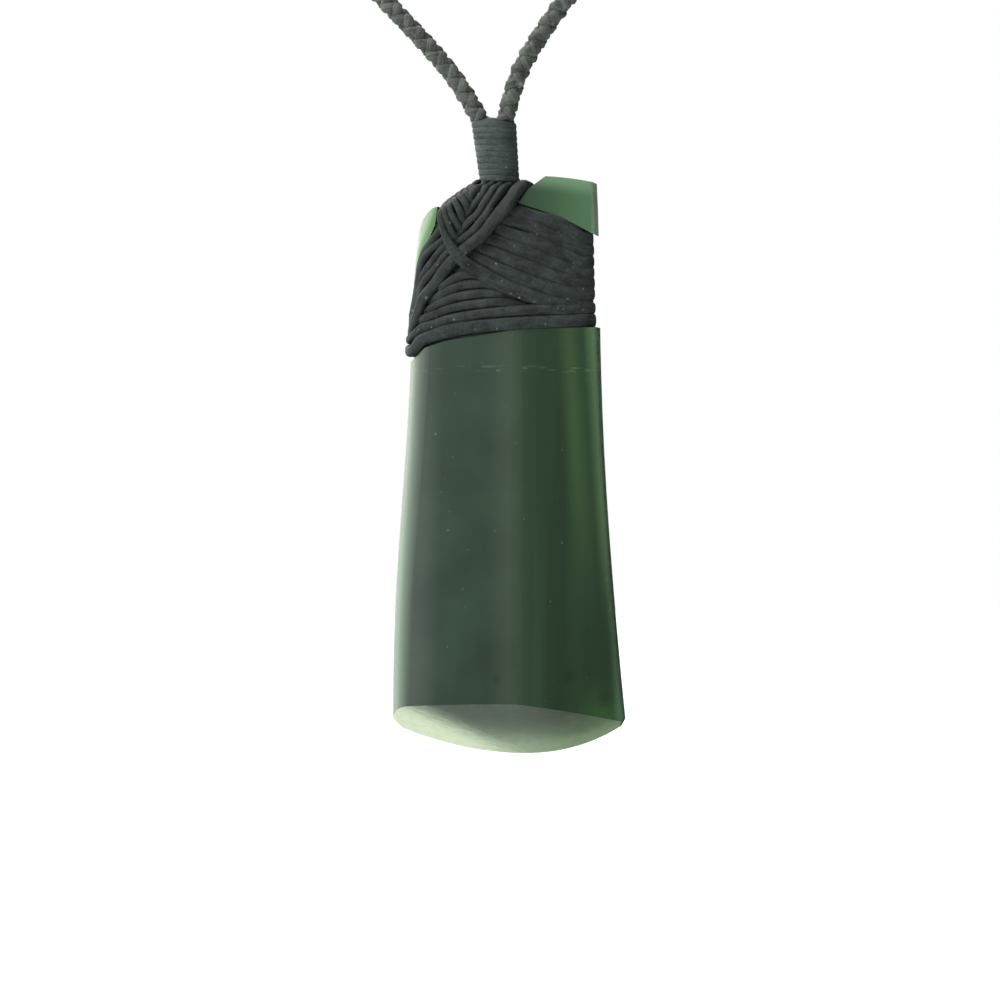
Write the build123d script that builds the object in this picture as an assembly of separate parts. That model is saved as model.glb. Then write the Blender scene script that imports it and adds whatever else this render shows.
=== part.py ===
from build123d import *

import math
import os

# Toki adze pendant: a polished greenstone blade, lashed at the butt with waxed cord,
# on a plaited neck cord that is one whole loop.
# Millimetres, +Z up, the blade's front faces -Y. The origin is the middle of the neck cord
# at the nape, which carries the rest. The blade is worked out in its own frame first:
# X from its centre line, Y from its middle plane, Z up from the lowest point of the cutting edge.

# Blade
blade_length = 60.7
blade_left = 12.5
blade_right = 12.6
side_thickness = 2.5
front_crown = 2.0
back_crown = 2.9
left_shoulder = 1.4
ridge_offset = 1.5
face_bulge_depth = 0.15
ridge_radius = 9.0
left_rounding = 0.9
edge_radius = 0.3
trim_margin = 1.0

# Cutting edge, two arcs that meet at its lowest point, and the bevel ground above it
edge_low_offset = 0.6
edge_radius_left = 29.0
edge_radius_right = 21.2
edge_corner_left = 0.9
edge_corner_right = 0.7
edge_corner_height = 2.6
bevel_height = 5.55

# Top of the butt, highest right of the middle and lower at both corners
peak_offset = 4.4
top_fall_left = 3.1
top_fall_right = 0.9
top_corner_left = 1.7
top_corner_drop = 2.4

# Recess for the lashing, and the saddle on which it passes over the butt
butt_half_width = 9.4
recess_depth = 0.75
right_recess_depth = 1.35
lash_zone = 16.3
saddle_drop = 2.6
saddle_left = 3.2
saddle_fall = 0.5

# Lashing, one cord thick, with a second layer where one bundle crosses the other
lash_cord = 1.05
lash_gap = 0.05

# Whipped neck
whipping_height = 6.6
whipping_top_width = 4.8
whipping_foot_width = 4.2
whipping_depth = 3.6
whipping_top_offset = -1.6
whipping_foot_offset = -0.95
whipping_gap = 0.1

# Neck cord, cut level where both its ends stand on the whipping
cord_diameter = 2.3
cord_trim = 0.6
cord_gap = 0.1

# The neck cord's route, from the left of the whipping round the nape to its right
neck_route = [
    (-2.65, -151.4, -198.0),
    (-4.9, -151.3, -194.0),
    (-8.1, -151.0, -190.1),
    (-13.05, -150.2, -185.0),
    (-20.6, -147.8, -177.3),
    (-30.5, -142.6, -166.5),
    (-45.0, -132.8, -151.5),
    (-63.0, -116.4, -130.8),
    (-79.5, -93.9, -105.2),
    (-87.2, -67.8, -76.2),
    (-81.0, -41.6, -47.0),
    (-61.0, -20.2, -23.0),
    (-35.0, -6.6, -7.5),
    (-13.0, 0.0, 0.0),
    (13.0, 0.0, 0.0),
    (31.0, -6.2, -6.9),
    (56.5, -19.4, -22.1),
    (77.0, -40.8, -45.9),
    (84.5, -67.1, -75.1),
    (76.0, -93.2, -103.9),
    (58.0, -115.7, -129.1),
    (38.7, -132.1, -149.1),
    (24.1, -142.1, -164.0),
    (13.9, -147.5, -174.9),
    (7.2, -150.0, -183.2),
    (3.2, -151.0, -189.0),
    (0.65, -151.3, -193.5),
    (-0.3, -151.4, -198.0),
]

# Blade sections from the cutting edge up: height as a share of the length, left and right
# half widths as shares of those at the edge, the sides' thickness as a share of that at the
# butt, and the crowns' as a share of those at the edge. The last rows are the butt's.
blade_sections = [
    {"height": -0.03, "left": 1.00, "right": 1.04, "side": 0.52, "crown": 1.00},
    {"height": 0.07, "left": 1.00, "right": 0.985, "side": 0.52, "crown": 1.00},
    {"height": 0.24, "left": 0.985, "right": 0.905, "side": 0.62, "crown": 0.97},
    {"height": 0.48, "left": 0.91, "right": 0.815, "side": 0.80, "crown": 0.87},
    {"height": 0.74, "left": 0.84, "right": 0.765, "side": 0.95, "crown": 0.72},
    {"height": 1.04, "left": 0.67, "right": 0.72, "side": 1.00, "crown": 0.55},
]
butt_sections = blade_sections[-3:]

# Outlines of the recess and the lashing bundles, seen from the front: across as shares of the
# butt's half width, up as shares of the lashed zone from its lower shoulder.
recess_outline = [
    (0.49, 1.20),
    (0.47, 1.00),
    (0.28, 0.92),
    (0.17, 0.83),
    (0.64, 0.74),
    (1.40, 0.50),
    (1.40, 0.04),
    (0.16, 0.02),
    (-0.66, -0.05),
    (-0.90, -0.09),
    (-1.08, -0.17),
    (-1.40, -0.22),
    (-1.40, -0.06),
    (-0.79, 0.70),
    (-0.73, 0.92),
    (-0.73, 1.20),
]
under_outline = [
    (-0.73, 1.20),
    (-0.73, 0.92),
    (-0.79, 0.70),
    (-0.71, 0.57),
    (-0.60, 0.475),
    (0.20, 0.17),
    (1.40, 0.19),
    (1.40, 0.50),
    (0.64, 0.74),
    (0.17, 0.83),
    (-0.04, 0.93),
    (-0.10, 1.20),
]
over_outline = [
    (0.42, 1.20),
    (0.42, 1.01),
    (0.24, 0.91),
    (-0.41, 0.50),
    (-0.66, 0.33),
    (-0.82, 0.20),
    (-0.93, 0.06),
    (-1.06, -0.10),
    (-1.40, -0.12),
    (-1.40, -0.06),
    (-0.79, 0.70),
    (-0.34, 0.95),
    (-0.34, 1.20),
]
crossing_outline = [
    (0.42, 1.20),
    (0.42, 1.01),
    (0.24, 0.91),
    (-0.41, 0.50),
    (-0.55, 0.41),
    (-0.89, 0.56),
    (-0.79, 0.70),
    (-0.34, 0.95),
    (-0.34, 1.20),
]
turns_outline = [
    (1.40, 0.19),
    (0.20, 0.17),
    (-0.51, 0.44),
    (-0.66, 0.33),
    (-0.82, 0.20),
    (-0.93, 0.06),
    (-1.06, -0.10),
    (-1.40, -0.12),
    (-1.40, -0.22),
    (-1.08, -0.17),
    (-0.90, -0.09),
    (-0.66, -0.05),
    (0.16, 0.02),
    (1.40, 0.04),
]

# Sizes that follow from those above
edge_radii = {"left": edge_radius_left, "right": edge_radius_right}
cut_depth = 4 * (front_crown + back_crown + side_thickness)
shoulder_height = blade_length - lash_zone
saddle_height = blade_length - saddle_drop
first_layer_top = lash_gap + lash_cord
second_layer_top = first_layer_top + lash_gap + lash_cord
whipping_foot_height = saddle_height + second_layer_top + whipping_gap
whipping_top_height = whipping_foot_height + whipping_height


def blade_section(row, grow, right_grow):
    """A closed section of the blade, square to its length and grown outwards."""
    half_side = side_thickness / 2 * row["side"] + grow
    left = -blade_left * row["left"] - grow
    right = blade_right * row["right"] + right_grow
    front_left = Vector(left, -half_side - left_shoulder * row["crown"])
    ridge = Vector(ridge_offset, -half_side - front_crown * row["crown"])
    front_right = Vector(right, -half_side)
    back_right = Vector(right, half_side)
    back_middle = Vector(0, half_side + back_crown * row["crown"])
    back_left = Vector(left, half_side)
    bulge = Vector(0, -face_bulge_depth)
    face = make_face(
        [
            ThreePointArc(front_left, (front_left + ridge) / 2 + bulge, ridge),
            ThreePointArc(ridge, (ridge + front_right) / 2 + bulge, front_right),
            Line(front_right, back_right),
            ThreePointArc(back_right, back_middle, back_left),
            Line(back_left, front_left),
        ]
    ).face()
    roundings = [
        (front_left, left_rounding * ((back_left - front_left).length - edge_radius)),
        (ridge, ridge_radius),
        (front_right, edge_radius),
        (back_right, edge_radius),
        (back_left, edge_radius),
    ]
    for corner, radius in roundings:
        vertex = face.vertices().sort_by_distance(corner)[0]
        face = face.fillet_2d(radius, [vertex])
    return Pos(0, 0, row["height"] * blade_length) * face


def blade_blank(rows, grow, right_grow):
    return loft([blade_section(row, grow, right_grow) for row in rows])


def cut_through(outline):
    """A prism through the blade from an outline in the front view."""
    return extrude(outline, cut_depth, both=True)


def front_face(edges):
    return Plane.XZ * make_face(edges)


def front_polygon(points):
    return Plane.XZ * make_face(Polyline(*points, close=True))


def edge_point(side, across):
    """A point of the cutting edge's arc on one side of its lowest point."""
    radius = edge_radii[side]
    rise = radius - math.sqrt(radius**2 - across**2)
    sign = -1 if side == "left" else 1
    return edge_low_offset + sign * across, rise


def blade_outline():
    """The front view's outline above the cutting edge and below the top of the butt."""
    low = edge_point("left", 0)
    left_run = edge_low_offset + blade_left - edge_corner_left
    right_run = blade_right - edge_low_offset - edge_corner_right
    left_end = edge_point("left", left_run)
    right_end = edge_point("right", right_run)
    left_side = (-blade_left - trim_margin / 2, left_end[1] + edge_corner_height)
    right_side = (blade_right + trim_margin / 2, right_end[1] + edge_corner_height)
    left_round = (-blade_left + edge_corner_left / 4, left_end[1] + edge_corner_height / 3)
    right_round = (blade_right - edge_corner_right / 4, right_end[1] + edge_corner_height / 3)
    peak = (peak_offset, blade_length)
    top_right = (butt_half_width + trim_margin, blade_length - top_fall_right)
    top_middle = (
        (peak_offset + top_right[0]) / 2,
        blade_length - top_fall_right / 3,
    )
    top_left = (-butt_half_width + top_corner_left, blade_length - top_fall_left)
    corner_low = (-butt_half_width, top_left[1] - top_corner_drop)
    corner_round = (
        -butt_half_width + top_corner_left * 0.4,
        top_left[1] - top_corner_drop * 0.4,
    )
    far_left = -blade_left - trim_margin
    far_right = blade_right + trim_margin
    return front_face(
        [
            ThreePointArc(left_side, left_round, left_end),
            ThreePointArc(left_end, edge_point("left", left_run / 2), low),
            ThreePointArc(low, edge_point("right", right_run / 2), right_end),
            ThreePointArc(right_end, right_round, right_side),
            Polyline(right_side, (far_right, right_side[1]), (far_right, top_right[1]), top_right),
            ThreePointArc(top_right, top_middle, peak),
            Line(peak, top_left),
            ThreePointArc(top_left, corner_round, corner_low),
            Polyline(corner_low, (far_left, corner_low[1]), (far_left, left_side[1]), left_side),
        ]
    )


def bevel_cut():
    """Everything below the bevel's plane, which leans from the front face down to the edge."""
    edge_side = side_thickness / 2 * blade_sections[0]["side"]
    front = -(edge_side + front_crown)
    back = edge_side + back_crown
    slope = bevel_height / (back - front)
    reach = back + blade_length / 4
    profile = Plane.YZ * make_face(
        Polyline(
            (-reach, (back + reach) * slope),
            (reach, (back - reach) * slope),
            (-reach, (back - reach) * slope),
            close=True,
        )
    )
    return extrude(profile, blade_left + blade_right, both=True)


def lash_polygon(outline, inset):
    """A polygon of the lashed zone, given in its shares and drawn in from its neighbours."""
    points = [
        (across * butt_half_width, shoulder_height + up * lash_zone)
        for across, up in outline
    ]
    return front_polygon(points) if inset == 0 else offset(front_polygon(points), -inset)


def butt_core(grow):
    """The stone inside the lashing, grown outwards, with its saddle on top."""
    reach = butt_half_width + blade_left
    saddle = front_polygon(
        [
            (-reach, saddle_height - (reach - saddle_left) * saddle_fall),
            (-saddle_left, saddle_height),
            (reach, saddle_height),
            (reach, shoulder_height - lash_zone),
            (-reach, shoulder_height - lash_zone),
        ]
    )
    if grow != 0:
        saddle = offset(saddle, grow)
    core = blade_blank(butt_sections, grow - recess_depth, grow - right_recess_depth)
    return core & cut_through(saddle)


def adze_blade(core):
    whole = (blade_blank(blade_sections, 0, 0) & cut_through(blade_outline())) - bevel_cut()
    recess = cut_through(lash_polygon(recess_outline, 0)) - core
    return whole - recess


def lashing(cores):
    """The three bundles: level turns, the one that passes under and the one that crosses over."""
    floor, first_top, second_floor, second_top = cores
    first_layer = first_top - floor
    turns = first_layer & cut_through(lash_polygon(turns_outline, lash_gap))
    under = first_layer & cut_through(lash_polygon(under_outline, lash_gap))
    crossing = (second_top - floor) & cut_through(lash_polygon(crossing_outline, lash_gap))
    under_room = second_floor & cut_through(lash_polygon(under_outline, 0))
    over = (first_layer & cut_through(lash_polygon(over_outline, lash_gap))) + crossing
    return turns, under, over - under_room


def neck_whipping():
    foot = Pos(whipping_foot_offset, 0, whipping_foot_height)
    top = Pos(whipping_top_offset, 0, whipping_top_height)
    return loft(
        [
            foot * Ellipse(whipping_foot_width / 2, whipping_depth / 2),
            top * Ellipse(whipping_top_width / 2, whipping_depth / 2),
        ]
    )


def cord_ends():
    """The middle between the neck cord's two ends, at the height where they are cut level."""
    middle = (Vector(*neck_route[0]) + Vector(*neck_route[-1])) / 2
    return middle + Vector(0, 0, cord_trim)


def neck_cord():
    """The plaited cord as a plain tube: straight runs joined by arcs as large as they allow."""
    points = [Vector(*p) for p in neck_route]
    radii = []
    for before, corner, after in zip(points, points[1:], points[2:]):
        shorter = min((corner - before).length, (after - corner).length)
        turn = math.radians((corner - before).get_angle(after - corner))
        radii.append(0.45 * shorter / math.tan(turn / 2))
    path = FilletPolyline(*points, radius=radii)
    start = Plane(origin=path @ 0, z_dir=path % 0)
    tube = sweep(start * Circle(cord_diameter / 2), path=path)
    print("neck cord radii", [round(r, 1) for r in radii])
    print("neck cord length", round(path.length, 1))
    whole_volume = math.pi * cord_diameter**2 / 4 * path.length
    print("neck cord volume by its section", round(tube.volume / whole_volume, 4))
    return split(tube, bisect_by=Plane.XY.offset(cord_ends().Z), keep=Keep.TOP)


def main():
    os.makedirs("parts", exist_ok=True)
    core_grows = [lash_gap, first_layer_top, first_layer_top + lash_gap, second_layer_top]
    turns, under, over = lashing([butt_core(grow) for grow in core_grows])
    whipping_top = cord_ends() - Vector(0, 0, cord_gap)
    hang = Pos(whipping_top - Vector(whipping_top_offset, 0, whipping_top_height))
    pieces = {
        "adze_blade": hang * adze_blade(butt_core(0)),
        "lashing_turns": hang * turns,
        "lashing_under": hang * under,
        "lashing_over": hang * over,
        "neck_whipping": hang * neck_whipping(),
        "neck_cord": neck_cord(),
    }
    for name, piece in pieces.items():
        export_step(piece, f"parts/{name}.step")


main()
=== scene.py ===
"""A polished greenstone adze blade, lashed at the butt with waxed cord, on a plaited neck cord."""

import math
import random

import bmesh
import bpy
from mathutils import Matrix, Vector
from mathutils.bvhtree import BVHTree


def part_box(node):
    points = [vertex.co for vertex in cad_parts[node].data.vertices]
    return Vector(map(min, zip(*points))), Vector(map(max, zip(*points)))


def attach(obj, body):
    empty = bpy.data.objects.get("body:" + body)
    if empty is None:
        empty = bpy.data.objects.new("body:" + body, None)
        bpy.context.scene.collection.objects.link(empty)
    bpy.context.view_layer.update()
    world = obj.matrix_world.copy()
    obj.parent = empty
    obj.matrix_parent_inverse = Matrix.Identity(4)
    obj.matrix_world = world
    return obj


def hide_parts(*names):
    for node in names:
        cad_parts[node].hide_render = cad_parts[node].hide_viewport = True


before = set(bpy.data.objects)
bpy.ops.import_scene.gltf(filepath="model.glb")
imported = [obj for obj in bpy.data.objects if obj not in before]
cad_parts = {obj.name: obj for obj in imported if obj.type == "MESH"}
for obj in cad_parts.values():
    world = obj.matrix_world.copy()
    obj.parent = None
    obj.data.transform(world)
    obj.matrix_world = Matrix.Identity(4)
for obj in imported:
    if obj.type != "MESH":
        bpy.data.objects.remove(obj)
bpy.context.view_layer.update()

MM = 0.001
UP = Vector((0, 0, 1))

# Points of a mesh that lie closer than this are one point
MERGE = 0.0001 * MM

# The photograph, and the camera that takes it in: level, and to the right of the blade's front
PHOTO_SIZE = 1000
SENSOR = 36.0
LENS = 119.7
CAMERA_DISTANCE = 350 * MM
CAMERA_YAW = math.radians(13)
CAMERA_HEIGHT = 26.9 * MM
CAMERA_LEFT = 0.9 * MM

# The room: where its dark side lies, from the blade's front to the right and down, the dark panel
# behind with the cosines at which it starts and is full, the room's light, and the floor
DARK_SIDE = math.radians(80)
DARK_DIP = math.radians(40)
PANEL_TURN = math.radians(13)
PANEL_RIM = (0.82, 0.94)
ROOM_STRENGTH = 2.6
FLOOR_DROP = 120 * MM
FLOOR_REACH = 4.0

# Where the blade stands: its centre line, its middle plane and its cutting edge
BLADE_LEFT = 12.5 * MM
blade_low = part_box("adze_blade")[0]
whipping_low, whipping_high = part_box("neck_whipping")
AXIS_X = blade_low.x + BLADE_LEFT
MIDDLE_Y = (whipping_low.y + whipping_high.y) / 2
EDGE_Z = blade_low.z

# Lashing cord, as wide as its turns lie apart and a little flattened where they press together
LASH_THICKNESS = 1.05 * MM
LASH_GAP = 0.05 * MM
LASH_SIDES = 20
LASH_STEPS = 12
LASH_SQUARENESS = 2.9
LASH_EASING = 4

# Marks in the stone, and the places of light painted on it, in millimetres across from the centre
# line and up from the cutting edge. A light streak has its place and half width, the heights at
# which it starts and is full, its green and its strength. A dark spot has its place and radius.
# The ridge, along which a soft grey highlight is painted
RIDGE_X = 0.7
VEIN_HEIGHT = 40.6
DARK_SPOTS = [(-0.7, 8.1, 0.8), (6.9, 8.5, 1.1), (10.6, 6.3, 1.4)]
STREAK_SHIFT = (3.0, 0, 0)
LIGHT_STREAKS = [(9.5, 1.6, (14, 34), "435C39", 0.5), (12.1, 1.4, (12, 28), "4D6748", 0.9)]
LEFT_EDGE_LEAN = 0.046
RIGHT_EDGE_LEAN = 0.06
TOP_FALL = 0.15
TAB_LEAN = math.radians(25)
# Green glow painted on the tab's cut wall, as light coming through it
TAB_WALL_PAINTED_GLOW = [(-31.5, -30.6, "43703A"), (-30.35, -30.25, "5CA848")]
ROLL_START = -6.9
ROLL_LEAN = 0.012
ROLL_WIDTH = 4.2
ROLL_SLOPE = 0.28
ROLL_TOP = (50.0, 46.0)
DULL_EDGE = (-9.5, -13.0)
POLISH_SHINE = 0.5
EDGE_SHINE = 0.15

# The ground bevel: how high it reaches, how far its faces turn down and forward, the lowest place
# and the round of the cutting edge, and the glare painted on it
BEVEL_REACH = 8 * MM
BEVEL_DOWN = -0.5
BEVEL_FORWARD = -0.4
BEVEL_LOW = 0.6
BEVEL_ROUND = 50.0
EDGE_UNEVENNESS = 1.6
# Where the painted glare lies on the bevel
GLARE_SLOPE = 1.8
GLARE_MIDDLE = 1.2
GLARE_WIDTH = 6.5
GLARE_FRAYING = 4.0
GRINDING_LEAN = math.radians(21)

# Whipped neck
WHIPPING_TURNS = 10
WHIPPING_CORD = 0.66 * MM
WHIPPING_TOP_WIDTH = 4.8 * MM
WHIPPING_FOOT_WIDTH = 4.2 * MM
WHIPPING_DEPTH = 3.6 * MM
WHIPPING_FLATNESS = 0.7
WHIPPING_PRESS = 1.12
WHIPPING_STEPS = 40
WHIPPING_SINK = 0.4 * MM
CROTCH_SHIFT = 0.3 * MM
CROTCH_SIZE = (1.5 * MM, 1.2 * MM, 0.5 * MM)
CROTCH_RISE = 0.2 * MM
CORE_SIZE = (2.3 * MM, 1.3 * MM, 2.0 * MM)

# Neck cord, a round plait of four strands
CORD_DIAMETER = 2.3 * MM
PLAIT_LAY = 3.75 * MM
PLAIT_STRANDS = 4
PLAIT_THICKNESS = 0.95 * MM
PLAIT_BREADTH = 1.2 * MM
PLAIT_RISE = 0.28 * MM
PLAIT_STEP = 0.3 * MM
PLAIT_SIDES = 8
PLAIT_TUCK = 1.0 * MM
NECK_STEPS = 24

# The neck cord's route in millimetres, from the left of the whipping round the nape to its right
NECK_ROUTE = [
    (-2.65, -151.4, -198.0),
    (-4.9, -151.3, -194.0),
    (-8.1, -151.0, -190.1),
    (-13.05, -150.2, -185.0),
    (-20.6, -147.8, -177.3),
    (-30.5, -142.6, -166.5),
    (-45.0, -132.8, -151.5),
    (-63.0, -116.4, -130.8),
    (-79.5, -93.9, -105.2),
    (-87.2, -67.8, -76.2),
    (-81.0, -41.6, -47.0),
    (-61.0, -20.2, -23.0),
    (-35.0, -6.6, -7.5),
    (-13.0, 0.0, 0.0),
    (13.0, 0.0, 0.0),
    (31.0, -6.2, -6.9),
    (56.5, -19.4, -22.1),
    (77.0, -40.8, -45.9),
    (84.5, -67.1, -75.1),
    (76.0, -93.2, -103.9),
    (58.0, -115.7, -129.1),
    (38.7, -132.1, -149.1),
    (24.1, -142.1, -164.0),
    (13.9, -147.5, -174.9),
    (7.2, -150.0, -183.2),
    (3.2, -151.0, -189.0),
    (0.65, -151.3, -193.5),
    (-0.3, -151.4, -198.0),
]

# Routes of the lashing's cords over the front, in the photograph's pixels. The first and the last
# point of a closed cord's route lie on the blade's middle plane, where it goes over the top or round
# the side. Widths are in millimetres, and a lift is a cord's height over the stone, in cords.
UNDER_ROUTES = [
    [(449, 201), (442, 213), (443, 231), (459, 257.5), (486, 276), (520, 292), (556, 302),
     (596, 303)],
    [(461, 192), (454.5, 203), (459, 214), (469, 226.5), (500, 242), (535, 255), (565, 267),
     (595, 272)],
    [(480, 181), (471, 188), (473, 193), (483, 198), (505, 206), (535, 216.5), (567, 228.5),
     (593, 238.5)],
]
UNDER_CORDS = 7
UNDER_WIDTHS = [0.65, 0.68, 0.8, 1.1, 1.4, 1.5, 1.5, 1.4]
UNDER_LIFTS = [1.0, 0.9, 0.95, 0.1, 0, 0, 0, 0]
TOP_LIFT_STEP = 0.08
LOWEST_UNDER_LIFTS = [1, 0.9, 1, 1, 0.3, 0, 0, -0.2]
LOWEST_UNDER_WIDTHS = [0.6, 0.65, 0.85, 1.4, 1.6, 1.55, 1.4, 1.2]
HIGHEST_UNDER_WIDTHS = [0.65, 0.68, 0.8, 1.1, 1.4, 1.5, 1.72, 1.85]
LOWEST_OVER_ROUTE = [
    (526, 182.5), (517, 195), (502.5, 212), (486, 229.5), (467, 246.5), (448, 264.5), (430, 289),
    (418, 310), (410, 335),
]
LOWEST_OVER_WIDTHS = [0.8, 1.4, 1.45, 1.4, 1.35, 1.35, 1.3, 1.1, 0.8]
LOWEST_OVER_LIFTS = [1, 1, 1, 1, 0.9, 0, 0, 0, 0]
OVER_ROUTES = [
    [(512, 182), (501, 198), (489, 211), (477, 225), (463, 238), (447, 252), (431, 272), (419, 294),
     (410, 329)],
    [(487, 180), (479, 190), (474, 198), (465, 206), (450, 221), (432, 239.5), (416.5, 260),
     (410.5, 285), (407.5, 312)],
]
OVER_CORDS = 4
OVER_WIDTHS = [0.76, 0.8, 0.82, 0.82, 0.82, 0.82, 0.8, 0.72, 0.62]
RIGHT_OVER_LIFTS = [1.2, 1, 1, 1, 0.5, 0, 0, 0, 0]
LEFT_OVER_LIFTS = [1.5, 1, 1, 0.4, 0, 0, 0, 0, 0]
LEVEL_ROUTES = [
    [(405, 350), (412, 349), (427, 337), (445, 331), (478, 326), (515, 323), (555, 321),
     (597, 320.5)],
    [(409, 340.5), (416, 332), (430, 325), (445, 320), (478, 314), (515, 310.5), (555, 309),
     (596, 308)],
]
LEVEL_WIDTHS = [
    [1.1, 1.2, 1.35, 1.45, 1.45, 1.45, 1.5, 1.6],
    [0.95, 0.95, 1.0, 1.05, 1.05, 1.1, 1.2, 1.25],
]
LEVEL_LIFTS = [0.1, 0, 0, 0, 0, 0, 0, 0]
FAN_ROUTES = [
    [(418, 322), (430, 316), (447, 309), (475, 304), (500, 302), (524, 305)],
    [(434, 292), (443, 286), (455, 278), (468, 274), (482, 276), (494, 283)],
]
FAN_CORDS = 4
FAN_WIDTHS = [0.8, 0.95, 1.02, 1.05, 1.0, 0.9]
FAN_LIFTS = [-0.6, 0, 0, 0, 0, -0.7]

# How much a cord's height and width wander along its way, as shares of its thickness and width
HEIGHT_WANDER = 0.05
WIDTH_WANDER = 0.05

random.seed(7)


def linear(code):
    """A screen colour such as 3A4540 as the linear colour that a shader takes."""
    parts = [int(code[i:i + 2], 16) / 255 for i in (0, 2, 4)]
    return [c / 12.92 if c <= 0.04045 else ((c + 0.055) / 1.055) ** 2.4 for c in parts] + [1.0]


def add(tree, kind, inputs=None, stops=None, **settings):
    """Add a node. An input that is a socket is linked, and any other is set on the node itself."""
    made = tree.nodes.new(kind)
    for name, value in settings.items():
        setattr(made, name, value)
    for name, value in (inputs or {}).items():
        if isinstance(value, bpy.types.NodeSocket):
            tree.links.new(value, made.inputs[name])
        else:
            made.inputs[name].default_value = value
    if stops:
        elements = made.color_ramp.elements
        for element, (place, code) in zip(elements, (stops[0], stops[-1])):
            element.position = place
            element.color = linear(code)
        for place, code in stops[1:-1]:
            elements.new(place).color = linear(code)
    return made


def stain(tree, colour, tint, *fades):
    """Lay a tint over a colour. A fade is a value, where on it the tint starts, where it is full,
    and how far it goes there. With several fades, the tint shows only where they meet."""
    share = None
    for value, start, full, reach in fades:
        fade = add(
            tree, "ShaderNodeMapRange",
            {"Value": value, "From Min": start, "From Max": full, "To Max": reach},
            interpolation_type="SMOOTHSTEP",
        ).outputs["Result"]
        if share:
            fade = add(tree, "ShaderNodeMath", {0: share, 1: fade}, operation="MULTIPLY").outputs[0]
        share = fade
    over = linear(tint) if isinstance(tint, str) else tint
    return add(tree, "ShaderNodeMix", {0: share, 6: colour, 7: over}, data_type="RGBA").outputs[2]


def new_material(name):
    material = bpy.data.materials.new(name)
    material.use_nodes = True
    material.node_tree.nodes.clear()
    return material, material.node_tree


# Camera, light and floor

view_forward = Vector((-math.sin(CAMERA_YAW), math.cos(CAMERA_YAW), 0))
view_right = Vector((math.cos(CAMERA_YAW), math.sin(CAMERA_YAW), 0))
camera_place = (
    Vector((AXIS_X, MIDDLE_Y, EDGE_Z + CAMERA_HEIGHT))
    - view_right * CAMERA_LEFT
    - view_forward * CAMERA_DISTANCE
)


def make_camera():
    data = bpy.data.cameras.new("photo_camera")
    data.sensor_width = SENSOR
    data.lens = LENS
    data.clip_start = 10 * MM
    camera = bpy.data.objects.new("photo_camera", data)
    camera.location = camera_place
    camera.rotation_euler = (math.pi / 2, 0, CAMERA_YAW)
    bpy.context.scene.collection.objects.link(camera)
    bpy.context.scene.camera = camera


def make_world():
    """A white room, brightest on the left and dark on the right in front and behind, as the polish
    mirrors it. What the camera sees behind the pendant is plain white."""
    world = bpy.data.worlds.new("white_room")
    world.use_nodes = True
    bpy.context.scene.world = world
    tree = world.node_tree
    tree.nodes.clear()
    direction = add(tree, "ShaderNodeTexCoord").outputs["Generated"]
    level = math.cos(DARK_DIP)
    dark_side = (math.sin(DARK_SIDE) * level, -math.cos(DARK_SIDE) * level, -math.sin(DARK_DIP))
    facing = add(
        tree, "ShaderNodeVectorMath", {0: direction, 1: dark_side}, operation="DOT_PRODUCT"
    ).outputs["Value"]
    share = add(
        tree, "ShaderNodeMapRange", {"Value": facing, "From Min": -1.0, "From Max": 1.0}
    ).outputs["Result"]
    room = add(
        tree, "ShaderNodeValToRGB", {"Fac": share},
        stops=[(0.14, "FFFFFF"), (0.29, "BEC0BE"), (0.375, "909290"), (0.447, "5E605E"),
               (0.615, "2A2C2A")],
    ).outputs["Color"]
    behind = add(
        tree, "ShaderNodeVectorMath",
        {0: direction, 1: (math.sin(PANEL_TURN), math.cos(PANEL_TURN), 0)}, operation="DOT_PRODUCT",
    ).outputs["Value"]
    room = stain(tree, room, "101210", (behind, *PANEL_RIM, 1.0))
    lit = add(tree, "ShaderNodeBackground", {"Color": room, "Strength": ROOM_STRENGTH}).outputs[0]
    seen = add(tree, "ShaderNodeBackground", {"Color": linear("FFFFFF"), "Strength": 1.0}).outputs[0]
    camera_ray = add(tree, "ShaderNodeLightPath").outputs["Is Camera Ray"]
    mixed = add(tree, "ShaderNodeMixShader", {0: camera_ray, 1: lit, 2: seen}).outputs[0]
    add(tree, "ShaderNodeOutputWorld", {"Surface": mixed})


def make_light(name, azimuth, elevation, distance, size, watts):
    """A soft square light that faces the blade from a compass angle, 0 being the blade's front."""
    turn, tilt = math.radians(azimuth), math.radians(elevation)
    away = Vector((math.sin(turn) * math.cos(tilt), -math.cos(turn) * math.cos(tilt), math.sin(tilt)))
    target = Vector((AXIS_X, MIDDLE_Y, EDGE_Z + CAMERA_HEIGHT))
    data = bpy.data.lights.new(name, "AREA")
    data.size = size
    data.energy = watts
    light = bpy.data.objects.new(name, data)
    light.location = target + away * distance
    light.rotation_euler = away.to_track_quat("Z", "Y").to_euler()
    bpy.context.scene.collection.objects.link(light)


def make_floor():
    """A matt white floor that lights the stone from below, but isn't mirrored in its polish."""
    mesh = bpy.data.meshes.new("pale_floor")
    bm = bmesh.new()
    bmesh.ops.create_grid(bm, x_segments=1, y_segments=1, size=FLOOR_REACH)
    bmesh.ops.translate(bm, verts=bm.verts, vec=(AXIS_X, MIDDLE_Y, EDGE_Z - FLOOR_DROP))
    bm.to_mesh(mesh)
    bm.free()
    floor = bpy.data.objects.new("pale_floor", mesh)
    bpy.context.scene.collection.objects.link(floor)
    material, tree = new_material("matt_white_floor")
    shader = add(
        tree, "ShaderNodeBsdfPrincipled", {"Base Color": linear("FAFAF8"), "Roughness": 0.9}
    )
    add(tree, "ShaderNodeOutputMaterial", {"Surface": shader.outputs[0]})
    mesh.materials.append(material)
    floor.visible_glossy = False


# Strands

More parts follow.
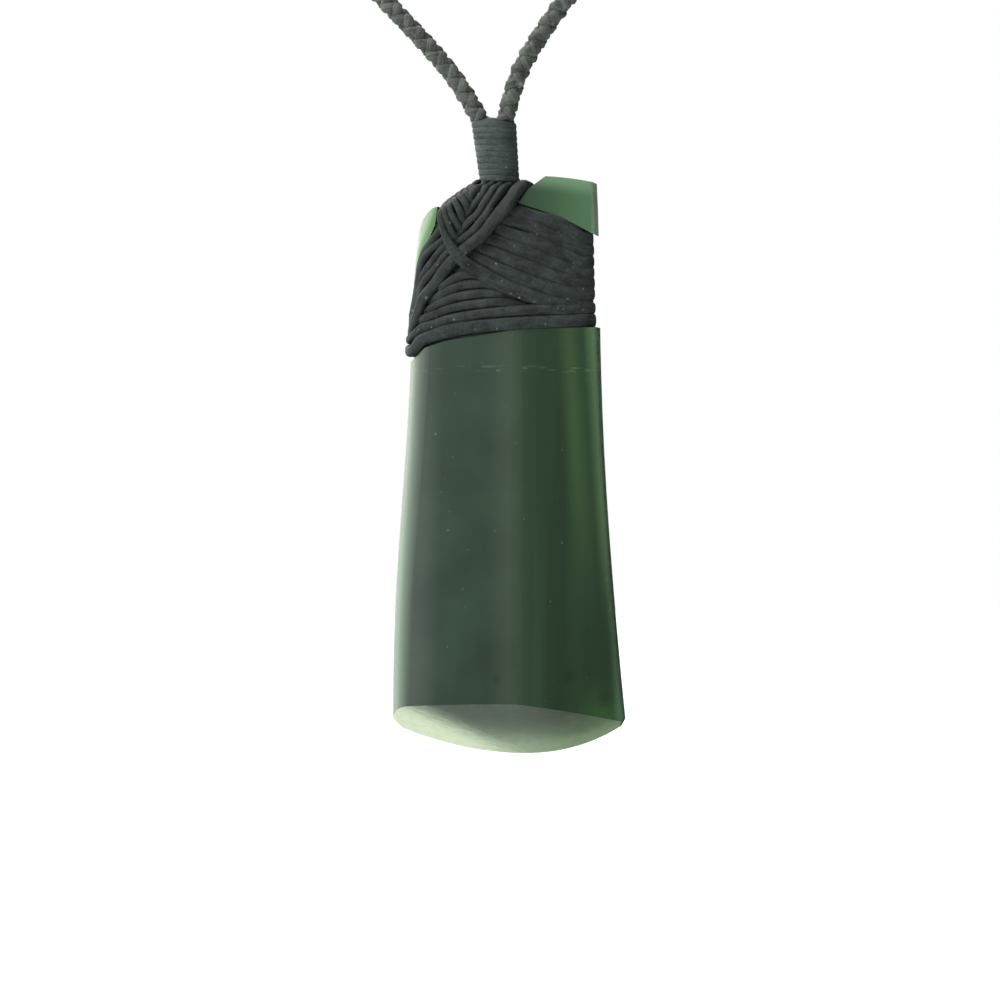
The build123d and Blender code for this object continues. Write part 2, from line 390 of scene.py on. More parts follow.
def smooth_line(points, cyclic, steps):
    """The points' own smooth Bezier curve, as steps places on each stretch between two points."""
    curve = bpy.data.curves.new("line", "CURVE")
    curve.dimensions = "3D"
    spline = curve.splines.new("BEZIER")
    spline.bezier_points.add(len(points) - 1)
    for bezier, point in zip(spline.bezier_points, points):
        bezier.co = point
        bezier.handle_left_type = bezier.handle_right_type = "AUTO"
    spline.use_cyclic_u = cyclic
    spline.resolution_u = steps
    return curve_places(curve)


def curve_places(curve):
    """The places that Blender gives for a curve with no bevel."""
    holder = bpy.data.objects.new("line", curve)
    bpy.context.scene.collection.objects.link(holder)
    bpy.context.view_layer.update()
    mesh = bpy.data.meshes.new_from_object(holder)
    places = [v.co.copy() for v in mesh.vertices]
    bpy.data.objects.remove(holder)
    bpy.data.meshes.remove(mesh)
    bpy.data.curves.remove(curve)
    return places


def roll_strand(bm, stations, sides, squareness=2.0, closed=False):
    """Roll a flat grid into a strand. A station has a centre, the way out, and two half sizes:
    out and across. The grid's UV holds millimetres along the strand and turns round it."""
    uv = bm.loops.layers.uv.verify()
    if closed:
        stations = stations + stations[:1]
    count = len(stations)
    made = bmesh.ops.create_grid(bm, x_segments=count - 1, y_segments=sides, size=0.5)["verts"]
    lengths = [0.0]
    for before, after in zip(stations, stations[1:]):
        lengths.append(lengths[-1] + (after[0] - before[0]).length)
    frames = []
    last = count - 1
    for i, (centre, out, half_out, half_across) in enumerate(stations):
        # The last station of a closed strand is its first again
        if closed:
            before, after = stations[i - 1 if i else -2][0], stations[i + 1 if i < last else 1][0]
        else:
            before, after = stations[max(i - 1, 0)][0], stations[min(i + 1, last)][0]
        along = (after - before).normalized()
        out = (out - along * out.dot(along)).normalized()
        frames.append((centre, out * half_out, along.cross(out) * half_across))
    place = {}
    for vert in made:
        place[vert] = (round((vert.co.x + 0.5) * last), round((vert.co.y + 0.5) * sides))
    power = 2 / squareness
    for face in {face for vert in made for face in vert.link_faces}:
        for loop in face.loops:
            i, j = place[loop.vert]
            loop[uv].uv = (lengths[i] / MM, j / sides)
        face.smooth = True
    for vert in made:
        i, j = place[vert]
        centre, out, across = frames[i]
        angle = 2 * math.pi * j / sides
        rise = math.copysign(abs(math.cos(angle)) ** power, math.cos(angle))
        reach = math.copysign(abs(math.sin(angle)) ** power, math.sin(angle))
        vert.co = centre + out * rise + across * reach
    bmesh.ops.remove_doubles(bm, verts=made, dist=MERGE)
    if not closed:
        rims = {e for v in made if v.is_valid for e in v.link_edges if e.is_boundary}
        bmesh.ops.holes_fill(bm, edges=list(rims), sides=0)


def finish_piece(bm, name, node, material):
    """Make the mesh a piece that stands for a node and rides with it."""
    bmesh.ops.recalc_face_normals(bm, faces=bm.faces)
    mesh = bpy.data.meshes.new(name)
    bm.to_mesh(mesh)
    bm.free()
    mesh.materials.append(material)
    piece = bpy.data.objects.new(name, mesh)
    bpy.context.scene.collection.objects.link(piece)
    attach(piece, "root")
    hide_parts(node)


def between(routes, count):
    """A row of routes that runs evenly from the first key route through the others to the last."""
    rows = []
    for k in range(count):
        t = k / (count - 1)
        # Three key routes lie on a parabola, and two on a straight line
        if len(routes) == 3:
            weights = ((1 - t) * (1 - 2 * t), 4 * t * (1 - t), t * (2 * t - 1))
        else:
            weights = (1 - t, t)
        rows.append([
            tuple(sum(w * route[i][axis] for w, route in zip(weights, routes)) for axis in (0, 1))
            for i in range(len(routes[0]))
        ])
    return rows


# Lashing

stone = BVHTree.FromObject(
    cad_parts["adze_blade"], bpy.context.evaluated_depsgraph_get(), epsilon=0.01 * MM
)
CAST_REACH = 40 * MM
SHELL = 8 * MM
NOTCH_STEP = 0.04
SLIP = 2.5 * MM

# A thin plate in the heart of the butt, from the blade's centre line and cutting edge
PLATE_LEFT = -8.9 * MM
PLATE_SHOULDER = 2.5 * MM
PLATE_RIGHT = 7.2 * MM
PLATE_WAIST = 50 * MM
PLATE_TOP = 56 * MM
PLATE_STRETCH = 3.5
FRONT_DEPTH = 1.6 * MM


def photo_ray(column, row):
    """The way from the camera through a pixel of the photograph."""
    across = (column - PHOTO_SIZE / 2) * SENSOR / PHOTO_SIZE / LENS
    up = (PHOTO_SIZE / 2 - row) * SENSOR / PHOTO_SIZE / LENS
    return (view_forward + view_right * across + UP * up).normalized()


def seen_at(pixel, depth):
    """Where a pixel's ray meets an upright plane in front of the blade's middle plane."""
    ray = photo_ray(*pixel)
    return camera_place + ray * ((MIDDLE_Y - depth - camera_place.y) / ray.y)


def heart(place):
    """The nearest point of the plate, from which the way out of the stone is taken."""
    z = min(place.z, EDGE_Z + PLATE_TOP)
    narrowed = max(0, (z - EDGE_Z - PLATE_WAIST) / (PLATE_TOP - PLATE_WAIST))
    left = AXIS_X + PLATE_LEFT + PLATE_SHOULDER * narrowed
    return Vector((min(max(place.x, left), AXIS_X + PLATE_RIGHT), MIDDLE_Y, z))


def shell_place(pixel, lift):
    """A place well outside the stone, straight out from where a pixel's cord lies on it. The lift
    is how high the cord stands over the stone."""
    hit = stone.ray_cast(camera_place + Vector((0, lift, 0)), photo_ray(*pixel))[0]
    seen = hit or seen_at(pixel, FRONT_DEPTH + lift / 2)
    seen.y = MIDDLE_Y
    inside = heart(seen)
    spread = (seen - inside) * PLATE_STRETCH
    if seen.z > EDGE_Z + PLATE_TOP:
        spread.x = seen.x - inside.x
    return inside + spread - Vector((0, SHELL, 0))


def lay(place, height):
    """A place over the butt brought down to a height above the stone, with the way out there."""
    inside = heart(place)
    hit = None
    while not hit:
        out = (place - inside).normalized()
        hit = stone.ray_cast(inside + out * CAST_REACH, -out)[0]
        inside.x += (AXIS_X - inside.x) * NOTCH_STEP
    return hit + out * height, out


def relax(places, closed, rounds):
    """Even out a row of places, which takes the stone's sharp corners off the cord."""
    for _ in range(rounds):
        last = len(places) - 1
        evened = []
        for i, place in enumerate(places):
            if not closed and i in (0, last):
                evened.append(place)
            else:
                evened.append((places[i - 1] + place * 2 + places[(i + 1) % len(places)]) / 4)
        places = evened
    return places


def mend_slips(centres, outs):
    """Where a cast slipped between two faces of the stone, take the neighbours' mean."""
    for i, centre in enumerate(centres):
        before, after = centres[i - 1], centres[(i + 1) % len(centres)]
        if min((centre - before).length, (centre - after).length) > SLIP:
            centres[i] = (before + after) / 2
            outs[i] = (outs[i - 1] + outs[(i + 1) % len(outs)]) / 2


def lash_route(pixels, lifts, ends_on_middle):
    """Shell places for a route over the front, with the height of each in cords over the stone."""
    shell = []
    for i, (pixel, lift) in enumerate(zip(pixels, lifts)):
        if ends_on_middle and i in (0, len(pixels) - 1):
            seen = seen_at(pixel, 0)
            inside = heart(seen)
            if seen.z > EDGE_Z + PLATE_TOP:
                shell.append(Vector((inside.x, MIDDLE_Y, inside.z + SHELL)))
            else:
                aside = math.copysign(SHELL, seen.x - AXIS_X)
                shell.append(Vector((inside.x + aside, MIDDLE_Y, seen.z)))
        else:
            shell.append(shell_place(pixel, LASH_THICKNESS * (1 + max(lift, 0))))
    return shell


def mirror_back(place):
    return Vector((place.x, 2 * MIDDLE_Y - place.y, place.z))


def eased(values, i, part):
    """A value part of the way from one point of a route to the next, with no kink at either."""
    here, there = values[i % len(values)], values[(i + 1) % len(values)]
    return here + (there - here) * part * part * (3 - 2 * part)


def add_lash_cord(bm, pixels, lifts, widths, closed=True):
    """One cord of the lashing, a closed turn or two short ends, alike on the front and the back."""
    lifts = [lift + random.uniform(-HEIGHT_WANDER, HEIGHT_WANDER) for lift in lifts]
    widths = [width * (1 + random.uniform(-WIDTH_WANDER, WIDTH_WANDER)) for width in widths]
    front = list(zip(lash_route(pixels, lifts, closed), lifts, widths))
    back = [(mirror_back(place), lift, width) for place, lift, width in front]
    for run in [front + back[-2:0:-1]] if closed else [front, back]:
        points, heights, breadths = zip(*run)
        centres, outs, halves = [], [], []
        for k, place in enumerate(smooth_line(points, closed, LASH_STEPS)):
            i, step = divmod(k, LASH_STEPS)
            part = step / LASH_STEPS
            height = LASH_GAP + LASH_THICKNESS * (0.5 + eased(heights, i, part))
            centre, out = lay(place, height)
            centres.append(centre)
            outs.append(out)
            halves.append(eased(breadths, i, part) / 2 * MM)
        mend_slips(centres, outs)
        centres = relax(centres, closed, LASH_EASING)
        outs = relax(outs, closed, LASH_EASING)
        stations = [
            (centre, out, LASH_THICKNESS / 2, half) for centre, out, half in zip(centres, outs, halves)
        ]
        roll_strand(bm, stations, LASH_SIDES, LASH_SQUARENESS, closed)


def make_lashing(material):
    bm = bmesh.new()
    for k, route in enumerate(between(UNDER_ROUTES, UNDER_CORDS)):
        if k == 0:
            add_lash_cord(bm, route, LOWEST_UNDER_LIFTS, LOWEST_UNDER_WIDTHS)
        else:
            lifts = [UNDER_LIFTS[0] + TOP_LIFT_STEP * k] + UNDER_LIFTS[1:]
            widths = UNDER_WIDTHS if k < UNDER_CORDS - 1 else HIGHEST_UNDER_WIDTHS
            add_lash_cord(bm, route, lifts, widths)
    finish_piece(bm, "lashing_under_cord", "lashing_under", material)
    bm = bmesh.new()
    add_lash_cord(bm, LOWEST_OVER_ROUTE, LOWEST_OVER_LIFTS, LOWEST_OVER_WIDTHS)
    for k, route in enumerate(between(OVER_ROUTES, OVER_CORDS)):
        # The further left a cord of this bundle lies, the sooner it comes down off the other one
        left = k / (OVER_CORDS - 1)
        lifts = [a + (b - a) * left for a, b in zip(RIGHT_OVER_LIFTS, LEFT_OVER_LIFTS)]
        add_lash_cord(bm, route, lifts, OVER_WIDTHS)
    finish_piece(bm, "lashing_over_cord", "lashing_over", material)
    bm = bmesh.new()
    for route, widths in zip(LEVEL_ROUTES, LEVEL_WIDTHS):
        add_lash_cord(bm, route, LEVEL_LIFTS, widths)
    for route in between(FAN_ROUTES, FAN_CORDS):
        add_lash_cord(bm, route, FAN_LIFTS, FAN_WIDTHS, closed=False)
    finish_piece(bm, "lashing_turns_cord", "lashing_turns", material)


def make_whipping(material):
    """The whipped neck: one cord wound down round both ends of the neck cord, with its bound
    crotch showing between them, and the core it binds reaching down among the lashing's cords."""
    bm = bmesh.new()
    half = WHIPPING_CORD / 2
    proud = half * WHIPPING_FLATNESS
    head, foot = whipping_high.z - half, whipping_low.z - WHIPPING_SINK + half
    head_x = whipping_low.x + WHIPPING_TOP_WIDTH / 2
    foot_x = whipping_high.x - WHIPPING_FOOT_WIDTH / 2
    stations = []
    total = WHIPPING_TURNS * WHIPPING_STEPS
    for k in range(total + 1):
        share = k / total
        angle = 2 * math.pi * k / WHIPPING_STEPS + math.pi / 2
        reach = (WHIPPING_TOP_WIDTH + (WHIPPING_FOOT_WIDTH - WHIPPING_TOP_WIDTH) * share) / 2 - proud
        out = Vector((math.cos(angle), math.sin(angle), 0))
        centre = Vector((
            head_x + (foot_x - head_x) * share + out.x * reach,
            MIDDLE_Y + out.y * (WHIPPING_DEPTH / 2 - proud),
            head + (foot - head) * share,
        ))
        stations.append((centre, out, proud, half * WHIPPING_PRESS))
    roll_strand(bm, stations, LASH_SIDES, LASH_SQUARENESS)
    crotch = (head_x - CROTCH_SHIFT, MIDDLE_Y, whipping_high.z + CROTCH_RISE - CROTCH_SIZE[2])
    core = (foot_x, MIDDLE_Y, whipping_low.z - WHIPPING_SINK)
    for size, place in [(CROTCH_SIZE, crotch), (CORE_SIZE, core)]:
        lump = bmesh.ops.create_uvsphere(bm, u_segments=24, v_segments=12, radius=1)["verts"]
        bmesh.ops.scale(bm, verts=lump, vec=size)
        bmesh.ops.translate(bm, verts=lump, vec=place)
    finish_piece(bm, "neck_whipping_cord", "neck_whipping", material)


def neck_line():
    """The smooth line of the neck cord: the route's own NURBS curve."""
    curve = bpy.data.curves.new("neck_line", "CURVE")
    curve.dimensions = "3D"
    spline = curve.splines.new("NURBS")
    spline.points.add(len(NECK_ROUTE) - 1)
    for point, place in zip(spline.points, NECK_ROUTE):
        point.co = (*(c * MM for c in place), 1)
    spline.order_u = 3
    spline.use_endpoint_u = True
    spline.resolution_u = NECK_STEPS
    return curve_places(curve)


def make_neck_cord(material):
    """Four strands that pass over and under each other round the neck cord's line."""
    line = neck_line()
    # Both ends are tucked a little way into the whipping
    line.insert(0, line[0] + (line[0] - line[1]).normalized() * PLAIT_TUCK)
    line.append(line[-1] + (line[-1] - line[-2]).normalized() * PLAIT_TUCK)
    places, travelled = [], 0.0
    want = 0.0
    for before, after in zip(line, line[1:]):
        run = (after - before).length
        while want <= travelled + run:
            places.append(before.lerp(after, (want - travelled) / run))
            want += PLAIT_STEP
        travelled += run
    across = Vector((0, 1, 0))
    frames = []
    for i, place in enumerate(places):
        along = (places[min(i + 1, len(places) - 1)] - places[max(i - 1, 0)]).normalized()
        across = (across - along * across.dot(along)).normalized()
        frames.append((place, across, along.cross(across)))
    bm = bmesh.new()
    half = PLAIT_THICKNESS / 2
    ring = CORD_DIAMETER / 2 - half - PLAIT_RISE
    for k in range(PLAIT_STRANDS):
        hand = 1 if k % 2 else -1
        start = math.pi * (k // 2) + math.pi / 4
        stations = []
        for i, (place, side, other) in enumerate(frames):
            turn = 2 * math.pi * i * PLAIT_STEP / PLAIT_LAY
            angle = hand * turn + start
            out = side * math.cos(angle) + other * math.sin(angle)
            rise = PLAIT_RISE * hand * math.cos(2 * turn)
            stations.append((place + out * (ring + rise), out, half, PLAIT_BREADTH / 2))
        roll_strand(bm, stations, PLAIT_SIDES)
    finish_piece(bm, "neck_cord_plait", "neck_cord", material)


# Materials

# How many patches of each pattern lie in a millimetre of the stone: clouds 8 mm across, streaks
# 3 mm wide and 80 mm long, flecks and specks under 1 mm, and the mottle of the ground bevel
CLOUDS = 0.13
STREAKS = (0.34, 0.2, 0.012)
FLECKS = 1.3
FLECK_STRETCH = (0.5, 1.0, 2.4)
SPECKS = 1.7
BEVEL_MOTTLE = 1.2

# Scratches of the grinding stone, in millimetres along, through and across. Those of fine grit are
# 0.02 mm wide, too fine to show, and are drawn 0.2 mm wide.
SCRATCH = (2.0, 1.0, 0.2)

# Waxed thread, in patches for each metre: the wax is uneven every 1.4 mm, with bright specks of it
# half a millimetre across. Its fibres are 0.02 mm thick, too fine to show, and are drawn 0.2 mm.
WAX_PATCHES = 0.7 / MM
WAX_SPECKS = 1.9 / MM
FLUFF = 5.2 / MM

# The thread's three twisted yarns follow each other every half millimetre along it. Combed fibres
# lie along it: how many in a millimetre of it and in one turn round it
YARNS = 3
YARN_STEP = 0.5
COMBED = (0.7, 11.0, 1.0)


def waxed_cord(name, dark, light):
    """Polyester thread, twisted from fine yarns and drawn through wax: dark and uneven in tone along
    its fibres, with a dull sheen on its rounds and a few pale crumbs of wax."""
    material, tree = new_material(name)
    uv = add(tree, "ShaderNodeUVMap").outputs["UV"]
    split = add(tree, "ShaderNodeSeparateXYZ", {"Vector": uv})
    place = add(tree, "ShaderNodeTexCoord").outputs["Object"]
    twist = add(
        tree, "ShaderNodeMath", {0: split.outputs["X"], 1: 2 * math.pi / YARN_STEP},
        operation="MULTIPLY",
    ).outputs[0]
    twist = add(
        tree, "ShaderNodeMath", {0: split.outputs["Y"], 1: YARNS * 2 * math.pi, 2: twist},
        operation="MULTIPLY_ADD",
    ).outputs[0]
    yarn = add(tree, "ShaderNodeMath", {0: twist}, operation="SINE").outputs[0]
    wax = add(
        tree, "ShaderNodeTexNoise", {"Vector": place, "Scale": WAX_PATCHES, "Detail": 3.0}
    ).outputs["Fac"]
    fluff = add(
        tree, "ShaderNodeTexNoise", {"Vector": place, "Scale": FLUFF, "Detail": 4.0}
    ).outputs["Fac"]
    combed = add(tree, "ShaderNodeMapping", {"Vector": uv, "Scale": COMBED}).outputs["Vector"]
    fibre = add(
        tree, "ShaderNodeTexNoise", {"Vector": combed, "Scale": 1.0, "Detail": 4.0, "Roughness": 0.65}
    ).outputs["Fac"]
    tone = add(tree, "ShaderNodeMix", {0: 0.6, 2: wax, 3: fibre}, data_type="FLOAT").outputs[0]
    colour = add(
        tree, "ShaderNodeValToRGB", {"Fac": tone}, stops=[(0.38, dark), (0.66, light)]
    ).outputs["Color"]
    crumbs = add(
        tree, "ShaderNodeTexNoise", {"Vector": place, "Scale": WAX_SPECKS, "Detail": 2.0}
    ).outputs["Fac"]
    crumbs = add(
        tree, "ShaderNodeMapRange",
        {"Value": crumbs, "From Min": 0.7, "From Max": 0.76, "To Max": 0.5},
    ).outputs["Result"]
    colour = add(
        tree, "ShaderNodeMix", {0: crumbs, 6: colour, 7: linear("8C9490")}, data_type="RGBA"
    ).outputs[2]
    height = add(
        tree, "ShaderNodeMath", {0: yarn, 1: 0.2, 2: fluff}, operation="MULTIPLY_ADD"
    ).outputs[0]
    height = add(
        tree, "ShaderNodeMath", {0: fibre, 1: 1.5, 2: height}, operation="MULTIPLY_ADD"
    ).outputs[0]
    bump = add(
        tree, "ShaderNodeBump", {"Height": height, "Strength": 0.5, "Distance": 0.06 * MM}
    ).outputs["Normal"]
    shader = add(
        tree, "ShaderNodeBsdfPrincipled",
        {"Base Color": colour, "Roughness": 0.62, "IOR": 1.4, "Specular IOR Level": 0.35,
         "Normal": bump},
    )
    add(tree, "ShaderNodeOutputMaterial", {"Surface": shader.outputs[0]})
    return material


def blade_coordinates(tree):
    """Millimetres across from the blade's centre line, back from its middle and up from its edge."""
    place = add(tree, "ShaderNodeTexCoord").outputs["Object"]
    origin = tuple(-c / MM for c in (AXIS_X, MIDDLE_Y, EDGE_Z))
    return add(
        tree, "ShaderNodeMapping",
        {"Vector": place, "Location": origin, "Scale": (1 / MM, 1 / MM, 1 / MM)},
    ).outputs["Vector"]


def away_from(tree, value, line):
    """How far a value lies from a line, to either side."""
    across = add(tree, "ShaderNodeMath", {0: value, 1: line}, operation="SUBTRACT").outputs[0]
    return add(tree, "ShaderNodeMath", {0: across}, operation="ABSOLUTE").outputs[0]


def body_green(tree, local, from_right):
    """The stone's own green: cloudy left of the ridge, and streaked along the blade right of it."""
    split = add(tree, "ShaderNodeSeparateXYZ", {"Vector": local})
    x, z = split.outputs["X"], split.outputs["Z"]
    clouds = add(
        tree, "ShaderNodeTexNoise", {"Vector": local, "Scale": CLOUDS, "Detail": 3.0}
    ).outputs["Fac"]
    left_green = add(
        tree, "ShaderNodeValToRGB", {"Fac": clouds}, stops=[(0.3, "1F3126"), (0.7, "2B3F31")]
    ).outputs["Color"]
    along = add(
        tree, "ShaderNodeMapping", {"Vector": local, "Location": STREAK_SHIFT, "Scale": STREAKS}
    ).outputs["Vector"]
    streaks = add(
        tree, "ShaderNodeTexNoise", {"Vector": along, "Scale": 1.0, "Detail": 2.0, "Roughness": 0.5}
    ).outputs["Fac"]
    right_green = add(
        tree, "ShaderNodeValToRGB", {"Fac": streaks},
        stops=[(0.32, "243726"), (0.5, "283D29"), (0.68, "2F462D")],
    ).outputs["Color"]
    for place, half, (start, full), green, strength in LIGHT_STREAKS:
        aside = away_from(tree, from_right, place)
        right_green = stain(
            tree, right_green, green, (aside, half, 0.0, 1.0), (z, start, full, strength)
        )
    # Darker low down, and greener again in the lower right corner
    right_green = stain(tree, right_green, "1D2E1D", (z, 22.0, 8.0, 0.5), (x, 4.0, 6.0, 1.0))
    right_green = stain(tree, right_green, "30502C", (z, 9.0, 4.0, 0.7), (x, 7.0, 10.0, 1.0))
    return stain(tree, left_green, right_green, (x, 0.5, 4.0, 1.0))


def marked(tree, local, colour):
    """The stone's marks: a faint row of pale flecks across it, single specks, and dark spots."""
    split = add(tree, "ShaderNodeSeparateXYZ", {"Vector": local})
    level = add(
        tree, "ShaderNodeMapping", {"Vector": local, "Scale": FLECK_STRETCH}
    ).outputs["Vector"]
    flecks = add(
        tree, "ShaderNodeTexNoise", {"Vector": level, "Scale": FLECKS, "Detail": 2.0}
    ).outputs["Fac"]
    vein = away_from(tree, split.outputs["Z"], VEIN_HEIGHT)
    colour = stain(tree, colour, "7D9080", (vein, 0.55, 0.0, 1.0), (flecks, 0.5, 0.72, 0.3))
    specks = add(
        tree, "ShaderNodeTexNoise", {"Vector": local, "Scale": SPECKS, "Detail": 1.0}
    ).outputs["Fac"]
    colour = stain(tree, colour, "7D9080", (specks, 0.75, 0.85, 0.25))
    for across, up, radius in DARK_SPOTS:
        away = add(
            tree, "ShaderNodeMapping",
            {"Vector": local, "Location": (-across, 0, -up), "Scale": (1, 0, 1)},
        ).outputs["Vector"]
        distance = add(tree, "ShaderNodeVectorMath", {0: away}, operation="LENGTH").outputs["Value"]
        colour = stain(tree, colour, "16231A", (distance, radius, 0.0, 0.45))
    return colour


def polished_greenstone():
    """Nephrite, ground and polished: dark green and cloudy, with soft streaks along the blade, and
    painted paler where it is thin, as if light came through, with painted highlights on the ridge and
    the top and a painted glow on the tab. Its polish mirrors the room softly."""
    material, tree = new_material("polished_nephrite")
    local = blade_coordinates(tree)
    split = add(tree, "ShaderNodeSeparateXYZ", {"Vector": local})
    x, y, z = (split.outputs[axis] for axis in "XYZ")
    from_left = add(
        tree, "ShaderNodeMath", {0: z, 1: -LEFT_EDGE_LEAN, 2: x}, operation="MULTIPLY_ADD"
    ).outputs[0]
    from_right = add(
        tree, "ShaderNodeMath", {0: z, 1: RIGHT_EDGE_LEAN, 2: x}, operation="MULTIPLY_ADD"
    ).outputs[0]
    colour = body_green(tree, local, from_right)
    # A painted highlight: a soft grey sheen painted along the ridge
    colour = stain(tree, colour, "4C5A47", (away_from(tree, x, RIDGE_X), 3.0, 0.0, 0.28))
    colour = marked(tree, local, colour)

    # Painted light: paler greens painted where light would come through the thin stone, along both
    # sides and in the top of the butt, with painted highlights along the top
    colour = stain(tree, colour, "7B9579", (from_left, -10.2, -12.9, 0.6), (y, 0.3, -0.8, 1.0))
    colour = stain(tree, colour, "506A54", (from_right, 11.5, 12.5, 0.5))
    painted_glow_green = stain(tree, linear("344B36"), "4B6B4E", (x, 3.0, 9.5, 1.0))
    top_line = add(
        tree, "ShaderNodeMath", {0: x, 1: TOP_FALL, 2: z}, operation="MULTIPLY_ADD"
    ).outputs[0]
    painted_glow_green = stain(tree, painted_glow_green, "7A9A7A", (top_line, 59.6, 61.4, 0.6))
    painted_glow_green = stain(tree, painted_glow_green, "99AE9A", (x, 9.0, 9.7, 0.65))
    colour = stain(tree, colour, painted_glow_green, (z, 52.0, 54.0, 1.0))

    # Painted light: the tab left of the lashing is painted nearly white, as lit, and its cut wall
    # painted with a green glow
    tab = [(z, 49.0, 50.5, 1.0), (x, -5.5, -7.0, 1.0)]
    colour = stain(tree, colour, "869A80", *tab)
    wall = add(
        tree, "ShaderNodeVectorMath",
        {0: local, 1: (math.cos(TAB_LEAN), 0.0, -math.sin(TAB_LEAN))}, operation="DOT_PRODUCT",
    ).outputs["Value"]
    for start, full, green in TAB_WALL_PAINTED_GLOW:
        colour = stain(tree, colour, green, (wall, start, full, 1.0), *tab)

    # The flat of the left face rolls over into its side, where the polish is duller
    inward = add(
        tree, "ShaderNodeMath", {0: z, 1: ROLL_LEAN, 2: ROLL_START}, operation="MULTIPLY_ADD"
    ).outputs[0]
    inward = add(tree, "ShaderNodeMath", {0: inward, 1: x}, operation="SUBTRACT").outputs[0]
    inward = add(tree, "ShaderNodeMath", {0: inward, 1: 0.0}, operation="MAXIMUM").outputs[0]
    below_lashing = add(
        tree, "ShaderNodeMapRange",
        {"Value": z, "From Min": ROLL_TOP[0], "From Max": ROLL_TOP[1]},
        interpolation_type="SMOOTHSTEP",
    ).outputs["Result"]
    inward = add(
        tree, "ShaderNodeMath", {0: inward, 1: below_lashing}, operation="MULTIPLY"
    ).outputs[0]
    roll = add(tree, "ShaderNodeMath", {0: inward, 1: 2.0}, operation="POWER").outputs[0]
    roll = add(
        tree, "ShaderNodeMath", {0: roll, 1: -ROLL_SLOPE / (2 * ROLL_WIDTH)}, operation="MULTIPLY"
    ).outputs[0]
    bump = add(
        tree, "ShaderNodeBump", {"Height": roll, "Strength": 1.0, "Distance": 1 * MM}
    ).outputs["Normal"]
    shine = add(
        tree, "ShaderNodeMapRange",
        {"Value": from_left, "From Min": DULL_EDGE[0], "From Max": DULL_EDGE[1],
         "To Min": POLISH_SHINE, "To Max": EDGE_SHINE},
        interpolation_type="SMOOTHSTEP",
    ).outputs["Result"]
    shader = add(
        tree, "ShaderNodeBsdfPrincipled",
        {"Base Color": colour, "Roughness": 0.22, "IOR": 1.61, "Specular IOR Level": shine,
         "Normal": bump},
    )
    add(tree, "ShaderNodeOutputMaterial", {"Surface": shader.outputs[0]})
    return material


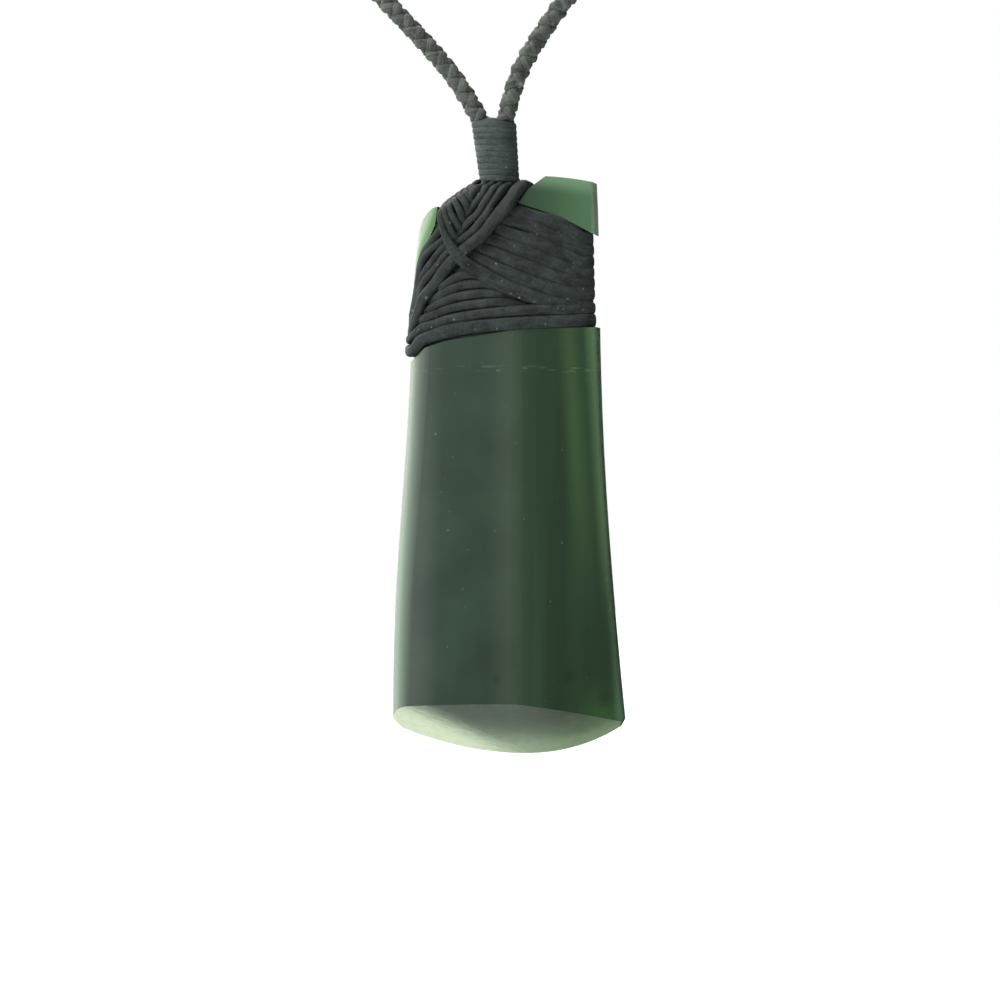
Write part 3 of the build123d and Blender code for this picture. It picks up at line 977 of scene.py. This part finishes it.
def ground_greenstone():
    """Nephrite as it comes off the grinding stone: satin and mottled, palest along the thin cutting
    edge, with fine scratches and a broad glare painted on its lower left."""
    material, tree = new_material("ground_nephrite")
    local = blade_coordinates(tree)
    split = add(tree, "ShaderNodeSeparateXYZ", {"Vector": local})
    x, z = split.outputs["X"], split.outputs["Z"]
    along = add(
        tree, "ShaderNodeMapping",
        {"Vector": local, "Rotation": (0, GRINDING_LEAN, 0), "Scale": SCRATCH},
        vector_type="TEXTURE",
    ).outputs["Vector"]
    scratch = add(
        tree, "ShaderNodeTexNoise", {"Vector": along, "Scale": 1.0, "Detail": 4.0, "Roughness": 0.7}
    ).outputs["Fac"]
    mottle = add(
        tree, "ShaderNodeTexNoise",
        {"Vector": local, "Scale": BEVEL_MOTTLE, "Detail": 5.0, "Roughness": 0.6},
    ).outputs["Fac"]

    # Height over the curved cutting edge, made uneven by the mottle
    across = add(tree, "ShaderNodeMath", {0: x, 1: BEVEL_LOW}, operation="SUBTRACT").outputs[0]
    arc = add(tree, "ShaderNodeMath", {0: across, 1: 2.0}, operation="POWER").outputs[0]
    rise = add(
        tree, "ShaderNodeMath", {0: arc, 1: -1 / BEVEL_ROUND, 2: z}, operation="MULTIPLY_ADD"
    ).outputs[0]
    rise = add(
        tree, "ShaderNodeMath", {0: mottle, 1: EDGE_UNEVENNESS, 2: rise}, operation="MULTIPLY_ADD"
    ).outputs[0]
    thinness = add(
        tree, "ShaderNodeMapRange", {"Value": rise, "From Min": 5.2, "From Max": 1.2},
        interpolation_type="SMOOTHSTEP",
    ).outputs["Result"]
    grey_satin = add(
        tree, "ShaderNodeValToRGB", {"Fac": thinness},
        stops=[(0.0, "4A564C"), (0.3, "566155"), (0.6, "647262"), (1.0, "80947A")],
    ).outputs["Color"]
    green_satin = add(
        tree, "ShaderNodeValToRGB", {"Fac": thinness},
        stops=[(0.0, "384538"), (0.75, "4B6245"), (1.0, "687F60")],
    ).outputs["Color"]
    colour = stain(tree, grey_satin, green_satin, (x, 0.0, 8.0, 1.0))
    # A painted highlight: a broad glare on the lower left, frayed along the scratches
    slope = add(
        tree, "ShaderNodeMath", {0: z, 1: GLARE_SLOPE, 2: x}, operation="MULTIPLY_ADD"
    ).outputs[0]
    painted_glare = add(
        tree, "ShaderNodeMath", {0: scratch, 1: GLARE_FRAYING, 2: slope}, operation="MULTIPLY_ADD"
    ).outputs[0]
    upper, lower = GLARE_MIDDLE + GLARE_WIDTH / 2, GLARE_MIDDLE - GLARE_WIDTH / 2
    colour = stain(tree, colour, "C0CDB1", (painted_glare, upper, lower, 1.0))
    colour = stain(tree, colour, "6F7F6A", (mottle, 0.45, 0.7, 0.15))
    bump = add(
        tree, "ShaderNodeBump", {"Height": scratch, "Strength": 0.15, "Distance": 0.05 * MM}
    ).outputs["Normal"]
    shader = add(
        tree, "ShaderNodeBsdfPrincipled",
        {"Base Color": colour, "Roughness": 0.45, "IOR": 1.61, "Normal": bump},
    )
    add(tree, "ShaderNodeOutputMaterial", {"Surface": shader.outputs[0]})
    return material


def dress_blade():
    """The blade keeps its own node: polished all over, and ground on its bevel."""
    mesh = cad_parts["adze_blade"].data
    mesh.materials.clear()
    mesh.materials.append(polished_greenstone())
    mesh.materials.append(ground_greenstone())
    for face in mesh.polygons:
        slopes_down = face.normal.z < BEVEL_DOWN and face.normal.y < BEVEL_FORWARD
        if slopes_down and face.center.z < EDGE_Z + BEVEL_REACH:
            face.material_index = 1


bpy.context.scene.view_settings.view_transform = "Standard"
make_camera()
make_world()
make_floor()
make_light("top_softbox", azimuth=-30, elevation=55, distance=0.7, size=0.5, watts=1.2)

make_neck_cord(waxed_cord("waxed_plait_thread", "323735", "676C66"))
make_whipping(waxed_cord("waxed_whipping_thread", "2C3433", "4C5653"))
make_lashing(waxed_cord("waxed_lashing_thread", "1D2323", "373F3D"))
dress_blade()
